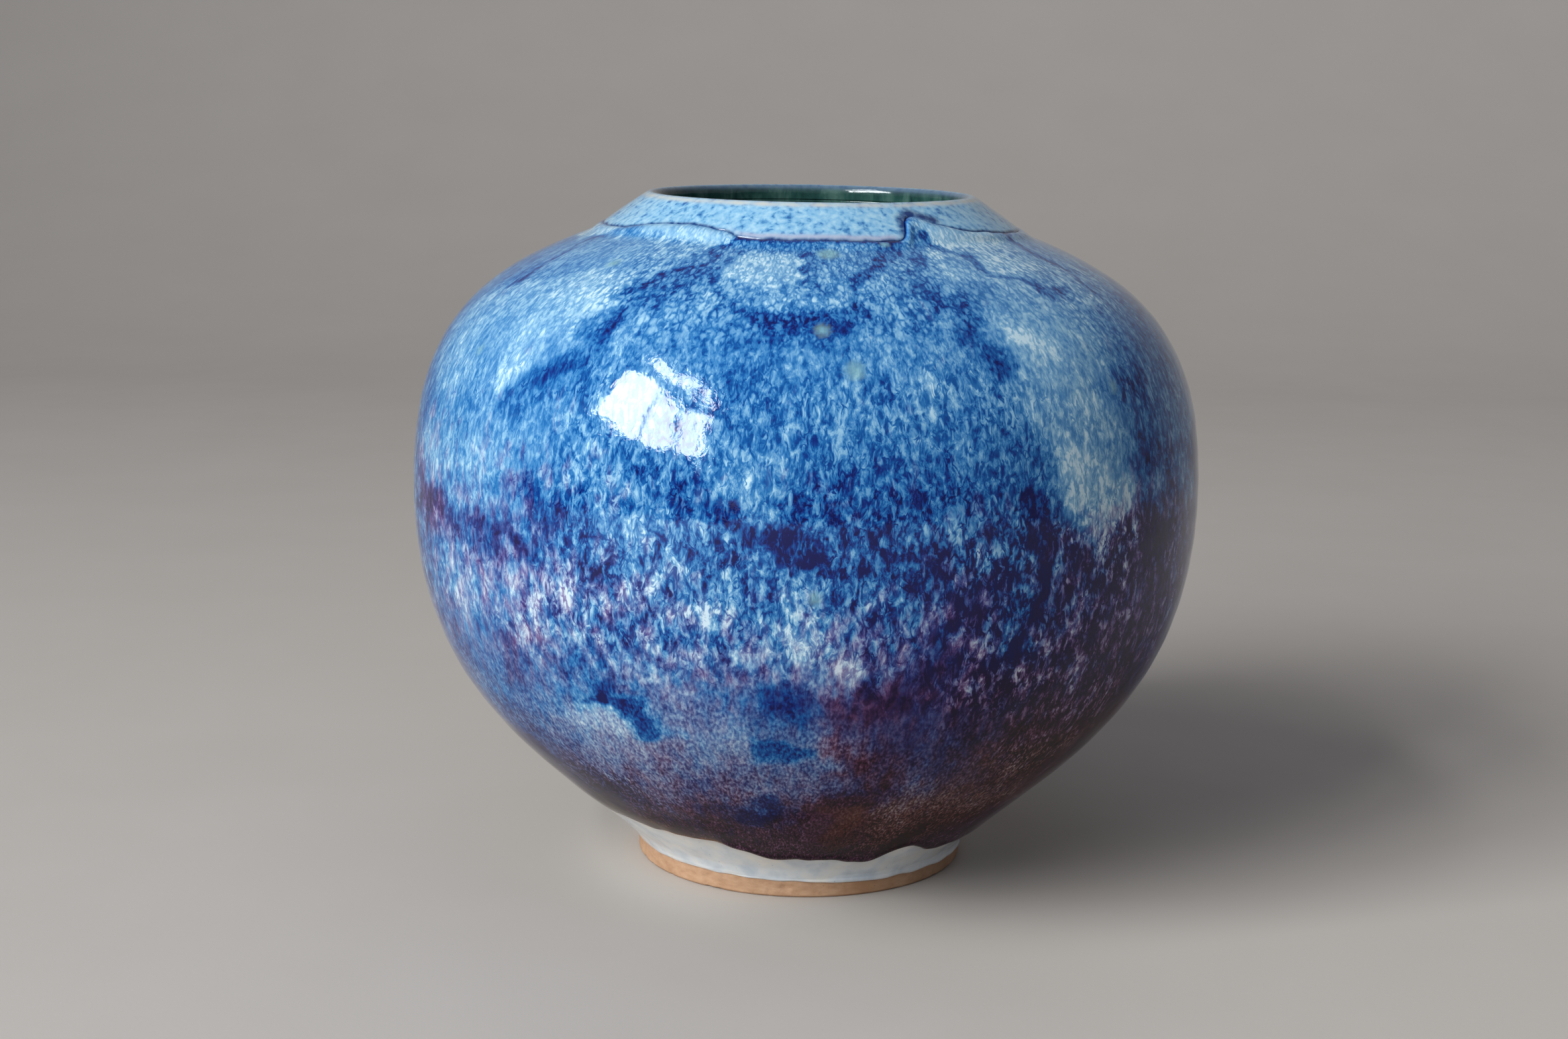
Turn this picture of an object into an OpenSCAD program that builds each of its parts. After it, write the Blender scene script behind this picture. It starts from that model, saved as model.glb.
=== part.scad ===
// Globular stoneware vase with a short sloping collar and a turned foot ring.
// Millimetres, +Z up. The origin is the centre of the circle that the foot ring stands on.
// The clay is a thrown body, with a collar ring and a foot ring luted on. The fired glazes are
// thin shells of their own, fused face to face with the clay and with each other.

/* [Body] */
// Height from the table to the top of the lip
height = 154; // [148:1:162]
// Radius of the belly at its widest, over the glaze
belly_r = 90; // [84:1:96]
// Height of the widest part of the belly
belly_z = 88; // [80:1:94]
// Thickness of the thrown clay wall
wall_t = 5.4; // [4.8:0.1:5.8]
// Height of the clay floor inside, at the centre
floor_z = 10.4; // [9:0.1:11]
// Slope of the wall where it leaves the foot, in degrees from the horizontal
hip_angle = 42; // [39:1:45]
// Slope of the shoulder where it meets the collar, in degrees from the horizontal
shoulder_angle = 20; // [17:1:23]

/* [Collar] */
// Radius of the collar where it stands on the shoulder, over the glaze
collar_r = 47.4; // [46:0.2:49]
// Rise of the collar from the shoulder to the top of the lip
collar_h = 8; // [7:0.2:10]
// Height of the small step where the collar's edge stands proud of the shoulder
step_h = 0.8; // [0.5:0.1:1]
// Radius of the lip at its crest
lip_r = 36.4; // [35:0.2:38]
// Radius that rounds the lip, over the glaze
lip_round = 1.7; // [1.4:0.1:2]

/* [Foot] */
// Outer radius of the foot ring
foot_r = 38; // [36:0.2:39]
// Width of the face that the foot ring stands on
foot_w = 6.6; // [5:0.2:8]
// Height of the foot ring
foot_h = 4.6; // [4.2:0.1:5]
// Bevel on the lower edges of the foot ring
foot_bevel = 0.6; // [0.4:0.1:1]

/* [Glaze] */
// Thickness of the blue glaze on the belly
blue_t = 0.9; // [0.7:0.1:1.2]
// Thickness of the white glaze, which runs under the blue
white_t = 0.4; // [0.3:0.1:0.5]
// Thickness of the glaze on the collar
collar_glaze_t = 0.7; // [0.5:0.1:0.8]
// Thickness of the liner glaze inside
liner_t = 0.6; // [0.4:0.1:0.8]
// Height of the bare clay under the white glaze
bare_h = 3.3; // [2.5:0.1:3.8]
// Height on the hip where the blue glaze stops
blue_edge_z = 12; // [11:0.5:14]
// Height on the hip where the white glaze runs out under the blue
white_edge_z = 18; // [16:0.5:22]

/* [Hidden] */

turns = 96;              // facets that OpenSCAD draws round the vase
steps = 32;              // lengths on each half of the belly's curve
hip_gap = [3.2, 2.6];    // from the top of the foot ring out and up to the hip
hip_pull = 33;           // handles of the two curves that meet at the belly
low_pull = 44;
high_pull = 38;
shoulder_pull = 28;
lap_w = 5;               // width of the lap joint between the body and the collar
lap_drop = 2;            // depth of the lap joint under the surface of the clay
throat_h = 4.4;          // the collar's inside stands upright this far under the lip's crest
liner_edge_h = 3.4;      // the liner meets the collar's glaze this far under the lip's crest
edge_round = 0.8;        // height of the sloping edge where the blue glaze stops
floor_turn_z = 19;       // height where the round of the floor inside runs into the wall
floor_pull = [26, 14];   // handles of that round, along the floor and down the wall
floor_steps = 10;        // lengths on that round
lip_steps = 3;           // lengths on the outer quarter of the lip's round
well_h = 0.8;            // rise of the shallow dome under the floor
ring_flare = 1;          // the foot ring is this much wider inside at its top

hip = [foot_r, foot_h] + hip_gap;
shoulder = [collar_r, height - collar_h];

// The glazed outline of the belly is two cubic curves, from the hip to the belly and from the
// belly to the shoulder.
low_curve = [hip, hip + hip_pull * [cos(hip_angle), sin(hip_angle)],
             [belly_r, belly_z - low_pull], [belly_r, belly_z]];
high_curve = [[belly_r, belly_z], [belly_r, belly_z + high_pull],
              shoulder + shoulder_pull * [cos(shoulder_angle), -sin(shoulder_angle)], shoulder];

function on_curve(c, t) = pow(1 - t, 3) * c[0] + 3 * pow(1 - t, 2) * t * c[1]
    + 3 * (1 - t) * t * t * c[2] + pow(t, 3) * c[3];
function last(line) = line[len(line) - 1];
function all_but_first(line) = [for (i = [1 : len(line) - 1]) line[i]];
function reversed(line) = [for (i = [len(line) - 1 : -1 : 0]) line[i]];

// Points on a round stretch, from one angle to another.
function arc(centre, r, from, to, n) =
    [for (i = [0 : n]) let (a = from + (to - from) * i / n) centre + r * [cos(a), sin(a)]];

// A line moved sideways by depth, with mitred corners. Lines run up the outside of the vase and
// down the inside of its lip, so a positive depth moves them into the clay.
function left_of(line, i) =
    let (run = line[i + 1] - line[i]) [-run[1], run[0]] / norm(run);
function inset(line, depth) = [
    for (i = [0 : len(line) - 1])
        let (mitre = left_of(line, max(i - 1, 0)) + left_of(line, min(i, len(line) - 2)))
            line[i] + depth * 2 * mitre / (mitre * mitre)];

// The part of a rising line above or under a height, cut exactly there.
function cut_at(line, z) = [
    for (i = [0 : len(line) - 2])
        if (line[i][1] < z && line[i + 1][1] >= z)
            line[i] + (line[i + 1] - line[i]) * (z - line[i][1]) / (line[i + 1][1] - line[i][1])];
function above(line, z) = concat(cut_at(line, z), [for (p = line) if (p[1] > z) p]);
function under(line, z) = concat([for (p = line) if (p[1] < z) p], cut_at(line, z));

// Glazed outlines: the belly, and the collar from its edge over the lip to its inside.
function curve_points(c, n) = [for (i = [0 : n]) on_curve(c, i / n)];
belly = concat(curve_points(low_curve, steps), all_but_first(curve_points(high_curve, steps)));
lip_centre = [lip_r, height - lip_round];
collar_edge = shoulder + [0, step_h];
cone_angle = atan2(lip_centre[1] + lip_round - collar_edge[1], collar_edge[0] - lip_r);
collar = concat([shoulder, collar_edge],
                arc(lip_centre, lip_round, 90 - cone_angle, 90, lip_steps),
                all_but_first(arc(lip_centre, lip_round, 90, 180, 2 * lip_steps)),
                [[lip_r - lip_round, height - liner_edge_h]]);

// Clay outlines under them. The collar's inside runs from the lap joint up to the lip.
clay = inset(belly, blue_t);
wall = above(inset(belly, blue_t + wall_t), floor_turn_z);
down_wall = (wall[0] - wall[1]) / norm(wall[0] - wall[1]);
floor_curve = [[0, floor_z], [floor_pull[0], floor_z], wall[0] + floor_pull[1] * down_wall, wall[0]];
hollow = concat(curve_points(floor_curve, floor_steps), all_but_first(wall));
collar_clay = inset(collar, collar_glaze_t);
lap_z = last(clay)[1] - lap_drop;
lap_r = last(clay)[0] - lap_w;
lap_under = last(hollow) + (last(hollow)[0] - lap_r) * [-1, tan(shoulder_angle)];
throat = [last(collar_clay)[0], height - throat_h];

// The white glaze starts on the foot ring and climbs the hip.
white_back = concat([[foot_r, bare_h], [foot_r, foot_h]], under(clay, white_edge_z));
white_front = inset(white_back, -white_t);

// The inside of the clay, from the middle of the floor to the edge of the liner glaze.
inside = concat(hollow, [lap_under, throat, last(collar_clay)]);
liner_front = inset(inside, liner_t);

module spin(outline) {
    rotate_extrude($fn = turns) polygon(outline);
}

// Thrown body: floor, belly and shoulder, with a flat seat for the foot ring and the lower half
// of a lap joint for the collar.
module stoneware_body() {
    color("tan") spin(concat(
        [[0, foot_h + well_h], [foot_r - foot_w - ring_flare, foot_h], [foot_r, foot_h]],
        clay,
        [[last(clay)[0], lap_z], [lap_r, lap_z], lap_under],
        reversed(hollow)));
}

// Turned foot ring of bare clay, luted to the seat under the body.
module foot_ring() {
    well_r = foot_r - foot_w;
    color("tan") spin([
        [well_r, foot_bevel], [well_r + foot_bevel, 0],
        [foot_r - foot_bevel, 0], [foot_r, foot_bevel],
        [foot_r, foot_h], [well_r - ring_flare, foot_h]]);
}

// Collar ring, which laps the shoulder and rises to the lip.
module collar_ring() {
    color("tan") spin(concat(
        [[lap_r, lap_z], [last(clay)[0], lap_z], last(clay), shoulder],
        collar_clay,
        [throat, lap_under]));
}

// White glaze, bare of blue round the foot and running on under it.
module white_glaze_band() {
    lower_edge = [foot_r + white_t, bare_h + white_t];
    color("gainsboro") spin(concat(
        white_back,
        reversed(all_but_first(white_front)),
        [lower_edge]));
}

// Blue glaze over the belly, from its thick edge on the white glaze up to the collar.
module blue_glaze_coat() {
    over_white = above(under(white_front, white_edge_z), blue_edge_z);
    color("steelblue") spin(concat(
        above(belly, blue_edge_z + edge_round),
        reversed(above(clay, white_edge_z)),
        reversed(over_white)));
}

// Pale blue glaze over the collar and its lip.
module collar_glaze() {
    color("lightsteelblue") spin(concat(collar, reversed(collar_clay)));
}

// Dark green liner glaze over the whole inside.
module liner_glaze() {
    color("darkslategray") spin(concat(
        inside,
        reversed(all_but_first(liner_front)),
        [[0, floor_z + liner_t]]));
}

stoneware_body();
foot_ring();
collar_ring();
white_glaze_band();
blue_glaze_coat();
collar_glaze();
liner_glaze();
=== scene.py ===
import math

import bpy
import numpy as np
from mathutils import Matrix, Vector, noise
from mathutils.bvhtree import BVHTree


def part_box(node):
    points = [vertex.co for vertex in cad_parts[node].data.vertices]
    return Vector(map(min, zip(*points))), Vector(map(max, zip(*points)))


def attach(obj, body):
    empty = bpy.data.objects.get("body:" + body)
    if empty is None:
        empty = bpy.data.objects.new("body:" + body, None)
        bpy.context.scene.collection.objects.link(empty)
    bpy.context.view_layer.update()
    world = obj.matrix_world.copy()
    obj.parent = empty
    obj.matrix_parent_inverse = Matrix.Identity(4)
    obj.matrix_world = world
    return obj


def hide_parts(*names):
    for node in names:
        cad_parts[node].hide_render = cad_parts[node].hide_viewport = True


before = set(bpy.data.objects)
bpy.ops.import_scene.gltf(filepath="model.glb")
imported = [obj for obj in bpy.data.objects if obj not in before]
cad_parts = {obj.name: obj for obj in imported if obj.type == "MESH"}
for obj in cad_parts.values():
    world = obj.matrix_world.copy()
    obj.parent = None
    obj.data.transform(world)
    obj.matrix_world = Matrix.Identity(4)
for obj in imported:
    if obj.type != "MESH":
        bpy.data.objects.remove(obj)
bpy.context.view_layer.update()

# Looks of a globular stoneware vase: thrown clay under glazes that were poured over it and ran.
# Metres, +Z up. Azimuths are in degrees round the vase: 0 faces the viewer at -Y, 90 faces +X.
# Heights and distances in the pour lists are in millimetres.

MM = 0.001
CLAY_NODES = ("stoneware_body", "foot_ring", "collar_ring")
ROUND = 480             # columns of points round the vase
HIDDEN_ROUND = 240      # the same on the inside and on clay that the glazes cover
UNDER = 0.02 * MM       # how far a glaze's unseen inner face stays off the clay
FOOT_W = 6.6 * MM       # width of the foot ring
FLOW_R = 80 * MM        # the cylinder that the blue glaze's pattern is unrolled on

foot_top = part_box("foot_ring")[1].z
foot_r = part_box("foot_ring")[1].x
belly_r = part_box("blue_glaze_coat")[1].x
lip_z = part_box("collar_glaze")[1].z
blue_t = belly_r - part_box("stoneware_body")[1].x
collar_t = lip_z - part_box("collar_ring")[1].z
white_t = 0.4 * MM      # as in the CAD model, where these two can't be read off a box
liner_t = 0.6 * MM


# ---------------------------------------------------------------- outlines from the CAD model

def cast_tree(nodes):
    """A ray-casting tree over some CAD nodes."""
    points, faces = [], []
    for name in nodes:
        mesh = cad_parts[name].data
        start = len(points)
        points += [v.co.copy() for v in mesh.vertices]
        faces += [[start + i for i in p.vertices] for p in mesh.polygons]
    return BVHTree.FromPolygons(points, faces)


def cast_radii(tree, heights, outwards):
    """Radius of the first surface that a level ray meets at each height."""
    side = Vector((math.cos(0.4), math.sin(0.4), 0))
    radii = []
    for z in heights:
        start = Vector((0, 0, z)) if outwards else side + Vector((0, 0, z))
        hit = tree.ray_cast(start, side if outwards else -side)[0]
        radii.append(math.hypot(hit.x, hit.y))
    return np.array(radii)


def smooth(line, length, spacing):
    """A line of evenly spaced points, smoothed over a length, with its ends kept."""
    reach = max(1, int(3 * length / spacing))
    weights = np.exp(-0.5 * (np.arange(-reach, reach + 1) * spacing / length) ** 2)
    weights /= weights.sum()
    ends = [2 * line[0] - line[reach:0:-1], line, 2 * line[-1] - line[-2:-reach - 2:-1]]
    padded = np.concatenate(ends)
    return np.stack([np.convolve(padded[:, k], weights, "valid") for k in (0, 1)], axis=1)


class Outline:
    """A line in the (radius, height) plane, measured along its length s from its lower end.
    Between the foot and a height called soft_top its corners are softened the most."""

    def __init__(self, points, soft_top, spacing=0.2 * MM):
        points = np.array(points)
        s = np.concatenate([[0], np.cumsum(np.linalg.norm(np.diff(points, axis=0), axis=1))])
        self.s = np.linspace(0, s[-1], int(s[-1] / spacing) + 1)
        even = np.stack([np.interp(self.s, s, points[:, k]) for k in (0, 1)], axis=1)
        fine = smooth(even, 0.25 * MM, spacing)
        broad = smooth(even, 1.6 * MM, spacing)
        plain = np.interp(even[:, 1], [6 * MM, 9 * MM, soft_top, soft_top + 1.5 * MM], [0, 1, 1, 0])
        self.points = fine + (broad - fine) * plain[:, None]
        tangent = np.gradient(self.points, self.s, axis=0)
        tangent /= np.linalg.norm(tangent, axis=1)[:, None]
        self.normal = np.stack([tangent[:, 1], -tangent[:, 0]], axis=1)
        self.length = self.s[-1]

    def at_height(self, z):
        """Length s at a height, on the rising outside of the vase."""
        top = int(np.argmax(self.points[:, 1]))
        return np.interp(z, self.points[:top, 1], self.s[:top])

    def place(self, s, azimuth, thickness):
        """Points in space at a thickness over the line."""
        r, z = (np.interp(s, self.s, self.points[:, k]) for k in (0, 1))
        nr, nz = (np.interp(s, self.s, self.normal[:, k]) for k in (0, 1))
        r = np.maximum(r + nr * thickness, 0)
        z = z + nz * thickness
        return np.stack(np.broadcast_arrays(r * np.sin(azimuth), -r * np.cos(azimuth), z), axis=-1)

    def height(self, s):
        return np.interp(s, self.s, self.points[:, 1])

    def radius(self, s):
        return np.interp(s, self.s, self.points[:, 0])


def clay_points():
    """The outside of the clay, from the table up to the lip and down the inside to the floor."""
    tree = cast_tree(CLAY_NODES)
    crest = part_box("collar_ring")[1].z - 0.02 * MM
    rising = np.linspace(0.02 * MM, crest, 900)
    falling = np.linspace(crest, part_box("liner_glaze")[0].z + 0.02 * MM, 900)
    outside = np.stack([cast_radii(tree, rising, False), rising], axis=1)
    inside = np.stack([cast_radii(tree, falling, True), falling], axis=1)
    return np.concatenate([outside, inside, [[0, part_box("liner_glaze")[0].z]]])


clay = Outline(clay_points(), 143 * MM)
draped = Outline(clay_points(), 150 * MM)       # what the poured glaze lies on, over the collar's step
crest_s = clay.s[int(np.argmax(clay.points[:, 1]))]
inner_edge_s = crest_s + 3.4 * MM               # where the collar's glaze ends inside the mouth


# ---------------------------------------------------------------- small numeric helpers

def turn(count):
    """Azimuths in radians, one column of points each."""
    return np.linspace(-math.pi, math.pi, count, endpoint=False)


def round_curve(azimuth, knots):
    """A smooth closed curve through (azimuth in degrees, value) knots."""
    at = np.array([k[0] for k in knots], float)
    value = np.array([k[1] for k in knots], float)
    at = np.concatenate([at - 360, at, at + 360])
    value = np.tile(value, 3)
    slope = np.gradient(value, at)
    x = np.degrees(azimuth)
    i = np.clip(np.searchsorted(at, x) - 1, 0, len(at) - 2)
    width = at[i + 1] - at[i]
    t = (x - at[i]) / width
    return ((2 * t**3 - 3 * t**2 + 1) * value[i] + (t**3 - 2 * t**2 + t) * width * slope[i]
            + (3 * t**2 - 2 * t**3) * value[i + 1] + (t**3 - t**2) * width * slope[i + 1])


def wander(points, size, seed):
    """Soft noise of about -1 to 1 at points in space, with features of a size in metres."""
    shift = Vector((seed * 7.3, seed * 3.1, seed * 5.7))
    flat = points.reshape(-1, 3)
    values = [noise.noise(Vector(p) / size + shift) for p in flat.tolist()]
    return 2 * np.array(values).reshape(points.shape[:-1])


def ease(x):
    """0 below 0, 1 above 1 and a smooth step between."""
    x = np.clip(x, 0, 1)
    return x * x * (3 - 2 * x)


# ---------------------------------------------------------------- meshes

def warp(points):
    """The slight lopsidedness of a hand-thrown pot, never larger than the CAD model."""
    x, y, z = points[..., 0], points[..., 1], points[..., 2]
    azimuth = np.arctan2(x, -y)
    r = np.hypot(x, y)
    body = ease((z - 6 * MM) / (20 * MM)) * ease((lip_z + 8 * MM - z) / (30 * MM))
    oval = 0.5 - 0.5 * np.cos(2 * azimuth - 0.9)
    lean = 0.5 - 0.5 * np.cos(azimuth + 2.0 + z / (90 * MM))
    rings = 0.5 + 0.5 * np.sin(z / (1.15 * MM) + 1.5 * np.sin(azimuth + z / (20 * MM)))
    shrink = body * (0.14 * oval + 0.14 * lean + 0.05 * rings) * MM
    share = np.where(r > 1e-9, (r - shrink) / np.maximum(r, 1e-9), 1)
    return np.stack([x * share, y * share, z], axis=-1)


def build(name, grid, node, material, poles=False, values=None):
    """A closed mesh from a grid of points, rows by columns. Its last row joins its first, or with
    poles both ends close in a point on the axis."""
    rows, columns = grid.shape[:2]
    co = warp(grid).reshape(-1, 3)
    index = np.arange(rows * columns).reshape(rows, columns)
    beside = np.roll(index, -1, axis=1)
    if poles:
        low, up, low2, up2 = index[:-1], index[1:], beside[:-1], beside[1:]
    else:
        low, up, low2, up2 = index, np.roll(index, -1, axis=0), beside, np.roll(beside, -1, axis=0)
    faces = np.stack([low, low2, up2, up], axis=-1).reshape(-1, 4).tolist()
    if poles:
        tips = [co[:columns].mean(axis=0), co[-columns:].mean(axis=0)]
        co = np.concatenate([co, tips])
        first, last = rows * columns, rows * columns + 1
        faces += [[first, b, a] for a, b in zip(index[0].tolist(), beside[0].tolist())]
        faces += [[last, a, b] for a, b in zip(index[-1].tolist(), beside[-1].tolist())]
    mesh = bpy.data.meshes.new(name)
    mesh.from_pydata(co.tolist(), [], faces)
    for key, value in (values or {}).items():
        if value.ndim == 3:
            mesh.attributes.new(key, "FLOAT_VECTOR", "POINT").data.foreach_set("vector", value.ravel())
        else:
            mesh.attributes.new(key, "FLOAT", "POINT").data.foreach_set("value", value.ravel())
    volume = sum(f.center.dot(f.normal) * f.area for f in mesh.polygons)
    if volume < 0:
        mesh.flip_normals()
    mesh.shade_smooth()
    mesh.update()
    piece = bpy.data.objects.new(name, mesh)
    bpy.context.scene.collection.objects.link(piece)
    mesh.materials.append(material)
    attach(piece, "root")
    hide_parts(node)
    return piece


def spread_rows(count, start, stop, crowd):
    """Shares from 0 to 1 that crowd together at the start and the stop."""
    t = np.linspace(0, 1, count)
    pull = start * np.exp(-t * crowd) + stop * np.exp(-(1 - t) * crowd)
    steps = 1 / (1 + pull[1:])
    return np.concatenate([[0], np.cumsum(steps) / steps.sum()])


# ---------------------------------------------------------------- glaze edges and pours

BLUE_EDGE = [(-150, 12.5), (-115, 13), (-88, 14.5), (-65, 16), (-50, 16.8), (-38, 16), (-28, 15.9),
             (-20, 15.2), (-14, 13.2), (-8, 11.4), (0, 11.6), (6, 12), (12, 10.9), (19, 10.1),
             (24, 12.3), (29, 14), (34, 12.6), (42, 10.8), (60, 10.6), (85, 12), (112, 13.8),
             (135, 11.6), (160, 13.2)]
WHITE_EDGE = [(-140, 3.9), (-90, 4.2), (-55, 4.1), (-30, 4.1), (-8, 3.8), (8, 3.5), (22, 3.2),
              (40, 3.1), (70, 2.7), (110, 2.9), (150, 3.5)]
COLLAR_LINE = [(-150, 146.4), (-110, 146.9), (-80, 146.4), (-66, 146.5), (-55, 147.3), (-45, 148.1),
               (-32, 148.3), (-24, 147.6), (-18, 146.5), (-8, 146.3), (8, 146.3), (20, 146.3),
               (25, 147), (28, 149.9), (31, 150.8), (36, 149.6), (44, 148), (56, 147.1),
               (68, 146.5), (95, 146.3), (125, 147.8), (140, 148.2), (158, 146.6)]
COLLAR_HOOK = [(26, 147), (27.5, 150.2), (31, 151.4), (38, 149.8)]     # a dark run over the line's step
COLLAR_HOOK_WIDTH = 2.6 * MM

# Rows of the blue glaze's unseen inner face, as shares of its length, close where the collar steps.
BLUE_BACK_ROWS = [0.997, 0.99, 0.98, 0.97, 0.96, 0.94, 0.90, 0.82, 0.70, 0.56, 0.42, 0.28, 0.16, 0.06, 0.003]

# What each height starts from: (height, value). Near the foot the low tones are partly painted shade, the
# lower belly darkened where less light reaches it from below.
TONE_BY_HEIGHT = [(10, 0.12), (22, 0.16), (30, 0.23), (36, 0.37), (46, 0.48), (55, 0.42), (64, 0.49),
                  (70, 0.50), (82, 0.48), (90, 0.44), (98, 0.46), (104, 0.48), (112, 0.51), (125, 0.53),
                  (135, 0.56), (146, 0.62)]
CONTRAST_BY_HEIGHT = [(10, 1.2), (30, 0.8), (52, 0.6), (68, 0.95), (84, 1.0), (98, 0.9), (108, 0.85),
                      (128, 0.95), (146, 0.85)]
WARM_BY_HEIGHT = [(10, 0.90), (22, 0.80), (30, 0.62), (40, 0.46), (62, 0.38), (72, 0.28), (94, 0.14),
                  (102, 0.02), (108, -0.10)]
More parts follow.
